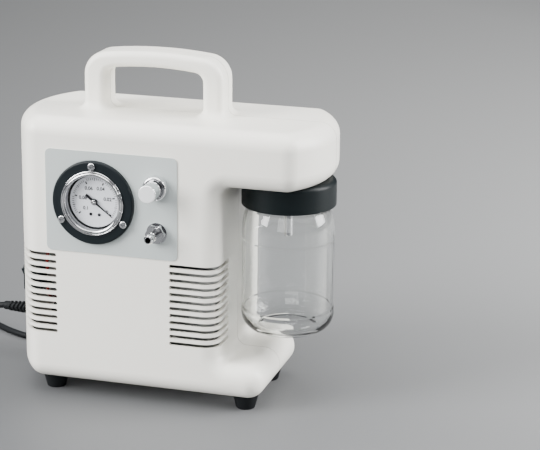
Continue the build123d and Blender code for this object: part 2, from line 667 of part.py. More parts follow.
def end_bracket(face_x, plate_x, hub_from, hub_to, pocket_from, pocket_to):
    """A motor end bracket: skirt from the stator face to a plate, with a bearing hub."""
    plate_from, plate_to = min(plate_x, plate_x + 4), max(plate_x, plate_x + 4)
    with BuildPart() as bracket:
        add(disc_x(shaft_y, shaft_z, min(face_x, plate_from), max(face_x, plate_to), 36.0, 33.2))
        with BuildSketch(Plane.YZ.offset(plate_from)):
            with Locations((shaft_y, shaft_z)):
                RectangleRounded(72, 72, 5)
        extrude(amount=4)
        add(disc_x(shaft_y, shaft_z, hub_from, hub_to, 15.0))
        for y, z in bolt_places:
            add(disc_x(y, z, min(face_x, plate_from), max(face_x, plate_to), 5.0))
        for y, z in bolt_places:
            add(disc_x(y, z, -200, 200, 2.1), mode=Mode.SUBTRACT)
        add(disc_x(shaft_y, shaft_z, hub_from - 1, hub_to + 1, 6.0), mode=Mode.SUBTRACT)
        add(disc_x(shaft_y, shaft_z, pocket_from, pocket_to, 11.0), mode=Mode.SUBTRACT)
        # air windows in the plate
        with BuildSketch(Plane.YZ.offset(plate_from)):
            with Locations((shaft_y, shaft_z)):
                with PolarLocations(24.5, 6):
                    SlotOverall(12, 6, rotation=90)
        extrude(amount=4, mode=Mode.SUBTRACT)
    return bracket.part


with BuildPart() as fan_end_bracket:
    add(end_bracket(stator_left, stator_left - 14, -89, -78, -88, -77))
    # foot that stands on the two left isolators
    add(box_between((-84, shaft_y - 28, 33.5), (-80, shaft_y + 28, 46)))
    add(box_between((-90, shaft_y - 30, 33.5), (-74, shaft_y + 30, 37)))
save("fan_end_bracket", fan_end_bracket.part)

with BuildPart() as pump_end_bracket:
    add(end_bracket(stator_right, stator_right + 10, -28.5, -16, -29, -19))
save("pump_end_bracket", pump_end_bracket.part)

with BuildPart() as motor_bearings:
    for x_from in (-88, -26):
        add(disc_x(shaft_y, shaft_z, x_from, x_from + 7, 11.0, shaft_radius + 0.03))
        add(disc_x(shaft_y, shaft_z, x_from - 0.1, x_from + 0.6, 9.2, 6.4), mode=Mode.SUBTRACT)
        add(disc_x(shaft_y, shaft_z, x_from + 6.4, x_from + 7.1, 9.2, 6.4), mode=Mode.SUBTRACT)
save("motor_bearings", motor_bearings.part)

with BuildPart() as motor_bolts:
    for y, z in bolt_places:
        add(disc_x(y, z, -84, -20, 2.0))
        add(disc_x(y, z, -87.5, -84, 3.9))
        with BuildSketch(Plane.YZ.offset(-20)):
            with Locations((y, z)):
                RegularPolygon(3.5, 6, major_radius=False)
        extrude(amount=3.2)
save("motor_bolts", motor_bolts.part)

fan_blades = 9
with BuildPart() as cooling_fan:
    add(disc_x(shaft_y, shaft_z, -104, -92, 9.0, shaft_radius))
    add(disc_x(shaft_y, shaft_z, -94, -92, 29.0, shaft_radius))
    with BuildSketch(Plane.YZ.offset(-104)):
        with Locations((shaft_y, shaft_z)):
            with PolarLocations(18.5, fan_blades):
                Rectangle(21, 1.6, rotation=18)
    extrude(amount=10.5)
save("cooling_fan", cooling_fan.part)

# ======================= diaphragm pump =======================
pin_z = shaft_z + crank_throw
with BuildPart() as crank_eccentric:
    add(disc_x(shaft_y, shaft_z, crank_x - 11.5, crank_x - 4.5, 13.0))
    add(disc_x(shaft_y, shaft_z, crank_x - 12, crank_x - 5.5, shaft_radius), mode=Mode.SUBTRACT)
    add(disc_x(shaft_y, pin_z, crank_x - 4.5, crank_x + 5.5, 4.0))
save("crank_eccentric", crank_eccentric.part)

with BuildPart() as eccentric_bearing:
    add(disc_x(shaft_y, pin_z, crank_x - 3.5, crank_x + 3.5, 11.0, 4.0))
save("eccentric_bearing", eccentric_bearing.part)

rod_top = deck_z + crank_throw
with BuildPart() as connecting_rod:
    add(disc_x(shaft_y, pin_z, crank_x - 4, crank_x + 4, 14.5))
    add(box_between((crank_x - 4, shaft_y - 6, pin_z + 10), (crank_x + 4, shaft_y + 6, rod_top - 2)))
    add(disc_z(crank_x, shaft_y, rod_top - 2.6, rod_top, 12.0))
    add(disc_x(shaft_y, pin_z, crank_x - 5, crank_x + 5, 11.03), mode=Mode.SUBTRACT)
    add(disc_z(crank_x, shaft_y, rod_top - 9, rod_top + 1, 2.0), mode=Mode.SUBTRACT)
save("connecting_rod", connecting_rod.part)

with BuildPart() as diaphragm:
    with BuildSketch(Plane.XZ.offset(-shaft_y)):
        with BuildLine():
            Polyline((crank_x + 27, deck_z), (crank_x + 22, deck_z))
            ThreePointArc((crank_x + 22, deck_z), (crank_x + 17, deck_z + 3.4), (crank_x + 12.5, rod_top))
            Polyline(
                (crank_x + 12.5, rod_top), (crank_x + 2, rod_top), (crank_x + 2, rod_top + diaphragm_thickness),
                (crank_x + 12.5, rod_top + diaphragm_thickness),
            )
            ThreePointArc(
                (crank_x + 12.5, rod_top + diaphragm_thickness), (crank_x + 17.4, deck_z + 5.1),
                (crank_x + 22, deck_z + diaphragm_thickness),
            )
            Polyline(
                (crank_x + 22, deck_z + diaphragm_thickness), (crank_x + 27, deck_z + diaphragm_thickness),
                (crank_x + 27, deck_z),
            )
        make_face()
    revolve(axis=Axis((crank_x, shaft_y, 0), (0, 0, 1)))
save("diaphragm", diaphragm.part)

clamp_z = rod_top + diaphragm_thickness
with BuildPart() as diaphragm_clamp:
    add(disc_z(crank_x, shaft_y, clamp_z, clamp_z + 1.6, 12.0))
    add(disc_z(crank_x, shaft_y, rod_top - 8, clamp_z + 1.6, 1.95))
    add(disc_z(crank_x, shaft_y, clamp_z + 1.6, clamp_z + 3.2, 3.8))
save("diaphragm_clamp", diaphragm_clamp.part)

flange_half = 30.0
head_bolt = 24.5
head_places = [(crank_x + sx * head_bolt, shaft_y + sy * head_bolt) for sx in (-1, 1) for sy in (-1, 1)]
with BuildPart() as crankcase:
    add(box_between((-20, shaft_y - 30, 33.5), (crank_x + 25, shaft_y + 30, 102)))
    add(box_between((crank_x - flange_half, shaft_y - 30, 102), (crank_x + flange_half, shaft_y + 30, deck_z)))
    add(disc_x(shaft_y, shaft_z, -8, crank_x + 26, 25.0), mode=Mode.SUBTRACT)
    add(disc_x(shaft_y, shaft_z, -21, -7, 15.0), mode=Mode.SUBTRACT)
    add(box_between((-21, shaft_y - 40, 40), (-16.5, shaft_y - 24, 110)), mode=Mode.SUBTRACT)
    add(box_between((-21, shaft_y + 24, 40), (-16.5, shaft_y + 40, 110)), mode=Mode.SUBTRACT)
    add(disc_z(crank_x, shaft_y, shaft_z, deck_z + 1, 21.5), mode=Mode.SUBTRACT)
    for x, y in head_places:
        add(disc_z(x, y, deck_z - 10, deck_z + 1, 1.95), mode=Mode.SUBTRACT)
save("crankcase", crankcase.part)

with BuildPart() as crankcase_cover:
    add(box_between((crank_x + 25, shaft_y - 30, 40), (crank_x + 27, shaft_y + 30, 101.5)))
save("crankcase_cover", crankcase_cover.part)

port_y = (shaft_y - 11.0, shaft_y + 11.0)
with BuildPart() as valve_plate:
    low = (crank_x - flange_half, shaft_y - 30, deck_z + diaphragm_thickness)
    add(box_between(low, (crank_x + flange_half, shaft_y + 30, plate_top)))
    add(disc_z(crank_x, shaft_y, deck_z, 121.6, 22.6), mode=Mode.SUBTRACT)
    for y in port_y:
        add(disc_z(crank_x, y, 121, plate_top + 1, 2.5), mode=Mode.SUBTRACT)
    for x, y in head_places:
        add(disc_z(x, y, deck_z, plate_top + 1, 2.2), mode=Mode.SUBTRACT)
save("valve_plate", valve_plate.part)

with BuildPart() as valve_flaps:
    add(disc_z(crank_x, port_y[0], 120.6, 121.6, 6.0))
    add(disc_z(crank_x, port_y[1], plate_top, plate_top + 1.0, 6.0))
save("valve_flaps", valve_flaps.part)

with BuildPart() as pump_head:
    low = (crank_x - flange_half, shaft_y - 30, plate_top)
    add(box_between(low, (crank_x + flange_half, shaft_y + 30, head_top)))
    fillet(pump_head.edges().filter_by(Axis.Z), 5)
    for y in port_y:
        add(disc_z(crank_x, y, plate_top - 1, plate_top + 8, 8.5), mode=Mode.SUBTRACT)
        add(disc_z(crank_x, y, head_top, head_top + 13, spigot_radius))
        add(disc_z(crank_x, y, plate_top + 7, head_top + 14, 1.9), mode=Mode.SUBTRACT)
    for x, y in head_places:
        add(disc_z(x, y, plate_top - 1, head_top + 1, 2.2), mode=Mode.SUBTRACT)
save("pump_head", pump_head.part)

with BuildPart() as head_screws:
    for x, y in head_places:
        add(disc_z(x, y, deck_z - 9, head_top, 1.9))
        add(disc_z(x, y, head_top, head_top + 3.6, 3.6))
        with BuildSketch(Plane.XY.offset(head_top + 1.8)):
            with Locations((x, y)):
                RegularPolygon(1.6, 6, major_radius=False)
        extrude(amount=2, mode=Mode.SUBTRACT)
save("head_screws", head_screws.part)

# ======================= chassis, isolators, electrics =======================
isolator_places = [(x, y) for x in (-82.0, crank_x) for y in (shaft_y - 20, shaft_y + 20)]
with BuildPart() as chassis_plate:
    add(box_between((-102, -32, 22), (76, 55, 23.5)))
    fillet(chassis_plate.edges().filter_by(Axis.Z), 8)
    for x in foot_x:
        for y in foot_y:
            add(disc_z(x, y, 21, 24, 2.3), mode=Mode.SUBTRACT)
save("chassis_plate", chassis_plate.part)

with BuildPart() as rubber_isolators:
    for x, y in isolator_places:
        add(disc_z(x, y, 23.5, 33.5, 7.0))
        add(disc_z(x, y, 27, 30, 7.5, 5.8), mode=Mode.SUBTRACT)
save("rubber_isolators", rubber_isolators.part)

with BuildPart() as run_capacitor:
    add(disc_z(-84, back_y - wall - 13, 176, 218, 13))
    fillet(run_capacitor.edges(), 1.2)
    for x in (-88, -80):
        add(box_between((x - 0.4, 50, 217), (x + 0.4, 56, 224)))
save("run_capacitor", run_capacitor.part)

with BuildPart() as terminal_block:
    add(box_between((-66, 52, 190), (-30, back_y - wall, 206)))
    for x in (-60, -48, -36):
        add(disc_y(x, 198, 51, 58, 3.2), mode=Mode.SUBTRACT)
        add(disc_y(x, 198, 55.5, 58, 2.8))
save("terminal_block", terminal_block.part)

silencer_x, silencer_y = 33.0, 51.0
with BuildPart() as exhaust_silencer:
    add(disc_z(silencer_x, silencer_y, 146, 197, 12.5))
    fillet(exhaust_silencer.edges(), 2)
    add(disc_z(silencer_x, silencer_y, 197, 208, spigot_radius))
    add(disc_z(silencer_x, silencer_y, 189, 209, 1.6), mode=Mode.SUBTRACT)
    with BuildSketch(Plane.XY.offset(151)):
        with Locations((silencer_x, silencer_y)):
            with PolarLocations(7, 8):
                Circle(1.3)
    extrude(amount=6, mode=Mode.SUBTRACT)
save("exhaust_silencer", exhaust_silencer.part)

# ======================= hoses and leads inside =======================
def bend_radii(points):
    """The largest bend radius that the two runs beside each corner leave room for."""
    radii = []
    for before, corner, after in zip(points, points[1:], points[2:]):
        run_in, run_out = Vector(*corner) - Vector(*before), Vector(*after) - Vector(*corner)
        half_turn = math.radians(run_in.get_angle(run_out)) / 2
        radii.append(0.45 * min(run_in.length, run_out.length) / math.tan(half_turn))
    return radii


def tube_along(points, outer, bore=0.0):
    """A soft tube along straight runs with rounded turns, hollow where it has a bore."""
    with BuildPart() as tube:
        with BuildLine() as path:
            if len(points) == 2:
                Line(*points)
            else:
                FilletPolyline(*points, radius=bend_radii(points))
        start = Plane(origin=path.line @ 0, z_dir=path.line % 0)
        with BuildSketch(start):
            Circle(outer)
            if bore:
                Circle(bore, mode=Mode.SUBTRACT)
        sweep()
    return tube.part


tee_x, tee_y, tee_z = 20.0, 22.0, 214.0
with BuildPart() as hose_tee:
    for direction in (-1, 1):
        start, end = sorted((tee_x, tee_x + 15 * direction))
        add(disc_x(tee_y, tee_z, start, end, spigot_radius))
    add(disc_x(tee_y, tee_z, tee_x - 5, tee_x + 5, 4.2))
    for direction in (-1, 1):
        start, end = sorted((tee_y, tee_y + 15 * direction))
        add(disc_y(tee_x, tee_z, start, end, spigot_radius))
    add(disc_x(tee_y, tee_z, tee_x - 16, tee_x + 16, 1.6), mode=Mode.SUBTRACT)
    add(disc_y(tee_x, tee_z, tee_y - 16, tee_y + 16, 1.6), mode=Mode.SUBTRACT)
save("hose_tee", hose_tee.part)

head_port_z = head_top + 4
hose_routes = {
    "inlet_hose": [
        (barb_x, front_y + 8, barb_z), (barb_x, -16, barb_z), (24, -14, 160), (34, -22, 196), (56, -26, 214),
        (84, -14, 223), (jar_x, jar_y, 223), (jar_x, jar_y, 198),
    ],
    "jar_hose": [(outlet_x, jar_y, 198), (outlet_x, jar_y, tee_z), (60, tee_y, tee_z), (tee_x + 7, tee_y, tee_z)],
    "pump_inlet_hose": [
        (crank_x, port_y[0], head_port_z), (crank_x, port_y[0], 168), (-8, 8, 186), (-20, 16, 204),
        (-10, tee_y, tee_z), (tee_x - 7, tee_y, tee_z),
    ],
    "gauge_hose": [
        (gauge_x, gauge_back_y + 8, gauge_z), (gauge_x, 8, gauge_z), (-44, 30, 180), (-26, 44, 196),
        (0, 52, 212), (tee_x, 46, tee_z), (tee_x, tee_y + 7, tee_z),
    ],
    "valve_hose": [
        (knob_x, front_y + 18, knob_z - 9), (knob_x, front_y + 18, 162), (-2, -14, 164), (4, -10, 190),
        (tee_x, -14, 206), (tee_x, -2, tee_z), (tee_x, tee_y - 7, tee_z),
    ],
    "exhaust_hose": [
        (crank_x, port_y[1], head_port_z), (crank_x, port_y[1], 164), (8, 38, 184), (8, 50, 204),
        (18, silencer_y, 222), (silencer_x, silencer_y, 223), (silencer_x, silencer_y, 201),
    ],
}

with BuildPart() as vacuum_hoses:
    for route in hose_routes.values():
        add(tube_along(route, hose_radius, spigot_radius))
save("vacuum_hoses", vacuum_hoses.part)

lead_routes = [
    [(-36, 60, 190), (-36, 60, 168), (-46, 48, 140), (-54, 34, 124), (-54, 34, 114)],
    [
        (-60, 60, 190), (-60, 60, 178), (-84, 60, 160), (-106, 44, 140), (-113.5, 8, 120), (-113.5, -1, 104),
        (-113.5, -1, 92.4),
    ],
    [
        (-117.4, relief_y, relief_z), (-110.5, relief_y, relief_z), (-109.5, 32, 54), (-112, 12, 66),
        (-113.5, -1, 71), (-113.5, -1, 81.6),
    ],
]
with BuildPart() as motor_leads:
    for route in lead_routes:
        add(tube_along(route, 1.3))
save("motor_leads", motor_leads.part)

# ======================= mains cord =======================
relief_collar_x = -129.4
with BuildPart() as strain_relief:
    with BuildSketch(Plane.XZ.offset(-relief_y)):
        with BuildLine():
            Polyline(
                (-117.5, relief_z), (-117.5, relief_z + 6.8), (-120.3, relief_z + 6.8), (-120.3, relief_z + 4.9),
                (relief_collar_x, relief_z + 4.9), (relief_collar_x, relief_z + 7.2),
                (relief_collar_x - 3.2, relief_z + 7.2), (relief_collar_x - 4.0, relief_z + 6.4),
                (relief_end_x + 5, relief_z + 4.6), (relief_end_x, relief_z + 3.3), (relief_end_x, relief_z),
                close=True,
            )
        make_face()
    revolve(axis=Axis((0, relief_y, relief_z), (1, 0, 0)))
    for groove in range(8):
        x = relief_collar_x - 7 - groove * 3.8
        add(disc_x(relief_y, relief_z, x - 1.4, x, 8.0, 3.6), mode=Mode.SUBTRACT)
save("strain_relief", strain_relief.part)

cord_route = [
    (relief_end_x, relief_y, relief_z), (-179, relief_y, 42.4), (-189, 38, 37.6), (-201.5, 36, 29),
    (-216, 35, 20.5), (-231.5, 37.2, 13.2), (-246.6, 45, 7.5), (-256.5, 60.2, 3.4), (-257, 78.5, 2.7), (-247.5, 94, 2.7),
    (-231.5, 103, 2.7), (-213.2, 102.2, 2.7), (-198.5, 91.2, 2.7), (-181.5, 80.6, 2.7), (-163.5, 73.2, 2.7),
    (-144, 70.8, 2.7), (-124, 74, 2.7), (-102.5, 80.4, 2.7), (-78.5, 83.6, 2.7), (-54.5, 83.9, 2.7),
]
coil_middle = 30.0
ring_pitch = 2 * cord_radius
coil_outer = coil_middle + (coil_rings - 1) / 2 * ring_pitch + cord_radius
coil_inner = coil_middle - (coil_rings - 1) / 2 * ring_pitch - cord_radius
tail_y = coil_y + coil_outer - cord_radius
plug_z = 10.0
cord_tail = [(-52, tail_y, 8.1), (-78, tail_y, plug_z)]

with BuildPart() as mains_cord:
    add(tube_along(cord_route, cord_radius))
    add(tube_along(cord_tail, cord_radius))
save("mains_cord", mains_cord.part)
print("cord bend radii", [round(r, 1) for r in bend_radii(cord_route)])
print("cord volume", round(mains_cord.part.volume), "section", round(math.pi * cord_radius**2, 2))

with BuildPart() as mains_cord_coil:
    add(disc_z(coil_x, coil_y, 0, coil_layers * ring_pitch, coil_outer, coil_inner))
    fillet(mains_cord_coil.edges(), 2.4)
save("mains_cord_coil", mains_cord_coil.part)

with BuildPart() as plug_body:
    for x, width, height, rounding in ((-78, 7.6, 7.6, 3.7), (-98, 11, 10, 4), (-106, 22, 18, 5), (-126, 24, 19.6, 5)):
        with BuildSketch(Plane.YZ.offset(x)):
            with Locations((tail_y, plug_z)):
                RectangleRounded(width, height, rounding)
    loft(ruled=True)
save("plug_body", plug_body.part)

with BuildPart() as plug_pins:
    for y in (tail_y - 6.35, tail_y + 6.35):
        add(box_between((-143, y - 0.75, plug_z - 3.15), (-126, y + 0.75, plug_z + 3.15)))
        add(disc_y(-140, plug_z, y - 1, y + 1, 1.5), mode=Mode.SUBTRACT)
save("plug_pins", plug_pins.part)
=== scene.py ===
"""The suction pump's visual model: finishes, detailed pieces, mains cord, floor and light."""
import json
import math

import bmesh
import bpy
from mathutils import Matrix, Vector


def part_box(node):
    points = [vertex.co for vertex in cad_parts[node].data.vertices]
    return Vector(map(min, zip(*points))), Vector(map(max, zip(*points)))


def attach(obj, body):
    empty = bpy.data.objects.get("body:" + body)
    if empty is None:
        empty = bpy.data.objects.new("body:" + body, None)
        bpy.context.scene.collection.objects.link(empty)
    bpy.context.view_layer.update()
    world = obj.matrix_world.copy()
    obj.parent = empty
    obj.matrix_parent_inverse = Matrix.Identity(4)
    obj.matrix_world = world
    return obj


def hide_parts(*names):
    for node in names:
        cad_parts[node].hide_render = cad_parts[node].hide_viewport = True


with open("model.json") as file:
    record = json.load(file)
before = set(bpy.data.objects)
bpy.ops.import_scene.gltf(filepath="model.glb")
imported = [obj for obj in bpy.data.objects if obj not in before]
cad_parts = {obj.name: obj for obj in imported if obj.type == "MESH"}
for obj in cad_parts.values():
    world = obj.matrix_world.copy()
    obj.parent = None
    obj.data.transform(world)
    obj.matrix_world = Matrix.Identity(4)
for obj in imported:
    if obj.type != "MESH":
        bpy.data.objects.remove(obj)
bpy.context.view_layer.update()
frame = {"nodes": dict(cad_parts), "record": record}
nodes = frame["nodes"]

# ---------------------------------------------------------------- camera
scene = bpy.context.scene
cam_data = bpy.data.cameras.new("camera")
cam_data.sensor_width = 36.0
cam_data.lens = 129.44
cam_data.clip_start = 0.05
cam_data.clip_end = 20.0
camera = bpy.data.objects.new("camera", cam_data)
scene.collection.objects.link(camera)
right = Vector((0.96005, 0.27965, 0.01041))
up = Vector((-0.08826, 0.26729, 0.95956))
backward = Vector((0.26556, -0.92214, 0.28130))
camera_place = Matrix.Translation((0.49607, -1.44291, 0.58985))
camera.matrix_world = camera_place @ Matrix((right, up, backward)).transposed().to_4x4()
scene.camera = camera


# ---------------------------------------------------------------- material helpers
def new_material(name):
    """A new node material, with its tree and its main shader."""
    mat = bpy.data.materials.new(name)
    mat.use_nodes = True
    tree = mat.node_tree
    shader = tree.nodes["Principled BSDF"]
    return mat, tree, shader


def object_coords(tree):
    """Positions in metres in the frame, which every piece shares."""
    return tree.nodes.new("ShaderNodeTexCoord").outputs["Object"]


def noise(tree, scale, detail=4.0, rough=0.55, stretch=None):
    """Noise with cells of 1/scale metres, drawn out along the axes where stretch is small."""
    tex = tree.nodes.new("ShaderNodeTexNoise")
    tex.inputs["Scale"].default_value = scale
    tex.inputs["Detail"].default_value = detail
    tex.inputs["Roughness"].default_value = rough
    coords = object_coords(tree)
    if stretch:
        mapping = tree.nodes.new("ShaderNodeMapping")
        mapping.inputs["Scale"].default_value = stretch
        tree.links.new(coords, mapping.inputs["Vector"])
        coords = mapping.outputs["Vector"]
    tree.links.new(coords, tex.inputs["Vector"])
    return tex.outputs["Fac"]


def ramp(tree, value, stops):
    """A colour that follows a value through stops of (place, colour)."""
    node = tree.nodes.new("ShaderNodeValToRGB")
    elements = node.color_ramp.elements
    while len(elements) < len(stops):
        elements.new(0.5)
    for element, (place, color) in zip(elements, stops):
        element.position = place
        element.color = (*color, 1.0)
    tree.links.new(value, node.inputs["Fac"])
    return node.outputs["Color"]


def map_range(tree, value, start, stop, low=0.0, high=1.0, interpolation="LINEAR"):
    """Takes start..stop of a value to low..high."""
    node = tree.nodes.new("ShaderNodeMapRange")
    node.interpolation_type = interpolation
    node.inputs["From Min"].default_value = start
    node.inputs["From Max"].default_value = stop
    node.inputs["To Min"].default_value = low
    node.inputs["To Max"].default_value = high
    tree.links.new(value, node.inputs["Value"])
    return node.outputs["Result"]


def remap(tree, value, low, high):
    """Takes the useful middle of a noise to low..high."""
    return map_range(tree, value, 0.3, 0.7, low, high)


def along_y(tree):
    """How far back a point lies in the frame, in metres."""
    split = tree.nodes.new("ShaderNodeSeparateXYZ")
    tree.links.new(object_coords(tree), split.inputs["Vector"])
    return split.outputs["Y"]


def bump(tree, shader, height, strength, distance, chain=None):
    """Surface relief from a height; chain is the relief that it lies on."""
    node = tree.nodes.new("ShaderNodeBump")
    node.inputs["Strength"].default_value = strength
    node.inputs["Distance"].default_value = distance
    tree.links.new(height, node.inputs["Height"])
    if chain:
        tree.links.new(chain, node.inputs["Normal"])
    tree.links.new(node.outputs["Normal"], shader.inputs["Normal"])
    return node.outputs["Normal"]


def tint(color, factor):
    """The colour made darker or lighter, kept below white."""
    return tuple(min(1.0, c * factor) for c in color)


def mottle(tree, shader, scale, color, vary):
    """Base colour that wanders by vary either side of the colour."""
    broad = noise(tree, scale, 3.0)
    stops = [(0.3, tint(color, 1 - vary)), (0.7, tint(color, 1 + vary))]
    tree.links.new(ramp(tree, broad, stops), shader.inputs["Base Color"])


def moulded(name, color, rough, grain, depth, vary, specular=0.5):
    """Moulded plastic or rubber: slight mottle, fine surface grain and uneven gloss."""
    mat, tree, shader = new_material(name)
    mottle(tree, shader, 22.0, color, vary)
    tree.links.new(remap(tree, noise(tree, 60.0, 4.0), *rough), shader.inputs["Roughness"])
    shader.inputs["Specular IOR Level"].default_value = specular
    bump(tree, shader, noise(tree, grain, 2.0), 0.35, depth)
    return mat


def metal(name, color, rough, brush, depth, vary):
    """Metal with faint colour change, uneven polish and brushing or casting grain."""
    mat, tree, shader = new_material(name)
    shader.inputs["Metallic"].default_value = 1.0
    mottle(tree, shader, 40.0, color, vary)
    grain = noise(tree, 900.0, 3.0, stretch=brush)
    tree.links.new(remap(tree, grain, *rough), shader.inputs["Roughness"])
    bump(tree, shader, grain, 0.3, depth)
    return mat


# ---------------------------------------------------------------- materials
seam_y = 0.0115  # where the two halves of the housing meet
seam_half_width = 0.00015
seam_edge = 0.00045


def housing_material():
    """Off-white plastic, with the parting line of its two halves darker and sunk."""
    mat, tree, shader = new_material("housing_plastic")
    white = (0.90, 0.88, 0.81)
    seam_color = (0.56, 0.535, 0.49, 1.0)
    offset = tree.nodes.new("ShaderNodeMath")
    offset.operation = "SUBTRACT"
    offset.inputs[1].default_value = seam_y
    tree.links.new(along_y(tree), offset.inputs[0])
    gap = tree.nodes.new("ShaderNodeMath")
    gap.operation = "ABSOLUTE"
    tree.links.new(offset.outputs[0], gap.inputs[0])
    off_seam = map_range(tree, gap.outputs[0], seam_half_width, seam_edge, interpolation="SMOOTHSTEP")
    body = ramp(tree, noise(tree, 14.0, 3.0), [(0.3, tint(white, 0.985)), (0.7, tint(white, 1.01))])
    mix = tree.nodes.new("ShaderNodeMix")
    mix.data_type = "RGBA"
    mix.inputs["A"].default_value = seam_color
    tree.links.new(off_seam, mix.inputs["Factor"])
    tree.links.new(body, mix.inputs["B"])
    tree.links.new(mix.outputs["Result"], shader.inputs["Base Color"])
    tree.links.new(remap(tree, noise(tree, 45.0, 4.0), 0.34, 0.42), shader.inputs["Roughness"])
    fine = bump(tree, shader, noise(tree, 1900.0, 2.0), 0.25, 0.00002)
    bump(tree, shader, off_seam, 0.6, 0.0003, fine)
    return mat


def jar_material():
    """Clear bottle glass, slightly wavy up and down as blown glass is."""
    mat, tree, shader = new_material("jar_glass")
    shader.inputs["Transmission Weight"].default_value = 1.0
    shader.inputs["IOR"].default_value = 1.5
    shader.inputs["Base Color"].default_value = (0.985, 0.995, 0.99, 1.0)
    tree.links.new(remap(tree, noise(tree, 30.0, 3.0), 0.0, 0.02), shader.inputs["Roughness"])
    bump(tree, shader, noise(tree, 45.0, 2.0, stretch=(1, 1, 0.5)), 0.12, 0.0006)
    return mat


def lens_material():
    """The gauge's flat window: nearly clear, with a sharp gloss."""
    mat, tree, shader = new_material("gauge_glass")
    tree.links.new(
        ramp(tree, noise(tree, 40.0, 2.0), [(0.3, (0.04, 0.04, 0.045)), (0.7, (0.05, 0.05, 0.05))]),
        shader.inputs["Base Color"],
    )
    shader.inputs["Alpha"].default_value = 0.06
    tree.links.new(remap(tree, noise(tree, 60.0), 0.02, 0.06), shader.inputs["Roughness"])
    return mat


def windings_material():
    """Coils of enamelled copper wire."""
    mat, tree, shader = new_material("enamelled_copper")
    shader.inputs["Metallic"].default_value = 0.85
    wave = tree.nodes.new("ShaderNodeTexWave")
    wave.wave_type = "RINGS"
    wave.rings_direction = "X"
    wave.inputs["Scale"].default_value = 420.0
    wave.inputs["Distortion"].default_value = 1.5
    tree.links.new(object_coords(tree), wave.inputs["Vector"])
    tree.links.new(
        ramp(tree, wave.outputs["Fac"], [(0.1, (0.12, 0.035, 0.012)), (0.6, (0.45, 0.17, 0.06))]),
        shader.inputs["Base Color"],
    )
    tree.links.new(remap(tree, noise(tree, 200.0), 0.25, 0.4), shader.inputs["Roughness"])
    bump(tree, shader, wave.outputs["Fac"], 0.8, 0.0003)
    return mat


def laminations_material():
    """A stack of thin steel sheets, seen edge on."""
    mat, tree, shader = new_material("laminated_steel")
    shader.inputs["Metallic"].default_value = 0.9
    wave = tree.nodes.new("ShaderNodeTexWave")
    wave.bands_direction = "X"
    wave.inputs["Scale"].default_value = 320.0
    wave.inputs["Distortion"].default_value = 0.2
    tree.links.new(object_coords(tree), wave.inputs["Vector"])
    tree.links.new(
        ramp(tree, wave.outputs["Fac"], [(0.2, (0.10, 0.10, 0.11)), (0.8, (0.36, 0.36, 0.38))]),
        shader.inputs["Base Color"],
    )
    tree.links.new(remap(tree, noise(tree, 150.0), 0.3, 0.5), shader.inputs["Roughness"])
    bump(tree, shader, wave.outputs["Fac"], 0.6, 0.0002)
    return mat


def sintered_material():
    """Pressed granules with dark pores between them."""
    mat, tree, shader = new_material("sintered_silencer")
    cells = tree.nodes.new("ShaderNodeTexVoronoi")
    cells.inputs["Scale"].default_value = 900.0
    tree.links.new(object_coords(tree), cells.inputs["Vector"])
    stops = [(0.15, (0.03, 0.03, 0.035)), (0.5, (0.13, 0.13, 0.14))]
    tree.links.new(ramp(tree, cells.outputs["Distance"], stops), shader.inputs["Base Color"])
    tree.links.new(remap(tree, noise(tree, 90.0), 0.6, 0.8), shader.inputs["Roughness"])
    bump(tree, shader, cells.outputs["Distance"], 0.5, 0.0002)
    return mat


# slot: name, colour, roughness, grain per metre, grain depth, colour change, and gloss where it isn't 0.5
moulded_slots = {
    "panel_film": ("panel_film", (0.455, 0.495, 0.49), (0.36, 0.44), 2600.0, 0.00001, 0.02),
    "black_plastic": ("black_plastic", (0.007, 0.010, 0.012), (0.34, 0.44), 1800.0, 0.00002, 0.1, 0.2),
    "cap_plastic": ("cap_plastic", (0.006, 0.009, 0.010), (0.36, 0.46), 1400.0, 0.00003, 0.12, 0.16),
    "black_rubber": ("black_rubber", (0.008, 0.009, 0.010), (0.5, 0.62), 1100.0, 0.00005, 0.15, 0.12),
    "dial": ("dial_white", (0.84, 0.86, 0.91), (0.45, 0.55), 2600.0, 0.00001, 0.015),
    "needle": ("needle_black", (0.006, 0.006, 0.008), (0.5, 0.6), 2200.0, 0.00001, 0.1, 0.2),
    "capacitor": ("capacitor_plastic", (0.62, 0.62, 0.59), (0.25, 0.35), 1500.0, 0.00002, 0.04),
    "terminal_plastic": ("terminal_plastic", (0.72, 0.72, 0.69), (0.3, 0.42), 1500.0, 0.00002, 0.04),
    "hose_rubber": ("silicone_hose", (0.38, 0.35, 0.31), (0.35, 0.5), 700.0, 0.00003, 0.05),
    "lead_insulation": ("lead_insulation", (0.42, 0.03, 0.025), (0.35, 0.45), 1200.0, 0.00002, 0.06),
    "cord_sheath": ("cord_sheath", (0.006, 0.007, 0.008), (0.48, 0.6), 900.0, 0.00004, 0.12, 0.16),
}
# slot: name, colour, roughness, brushing, grain depth, colour change
metal_slots = {
    "chrome": ("chrome", (0.80, 0.80, 0.81), (0.05, 0.1), None, 0.000002, 0.02),
    "steel": ("zinc_plated_steel", (0.62, 0.62, 0.62), (0.25, 0.38), (1, 1, 0.1), 0.00001, 0.08),
    "brass": ("brass", (0.72, 0.56, 0.27), (0.2, 0.32), None, 0.00001, 0.08),
    "cast_alloy": ("cast_alloy", (0.58, 0.59, 0.60), (0.38, 0.55), None, 0.00008, 0.1),
}
materials = {slot: moulded(*row) for slot, row in moulded_slots.items()}
materials.update({slot: metal(*row) for slot, row in metal_slots.items()})
materials.update({
    "housing": housing_material(),
    "clear_glass": lens_material(),
    "jar_glass": jar_material(),
    "laminated_steel": laminations_material(),
    "copper": windings_material(),
    "sintered": sintered_material(),
})

knob_face_y, knob_side_y = -0.0690, -0.0684


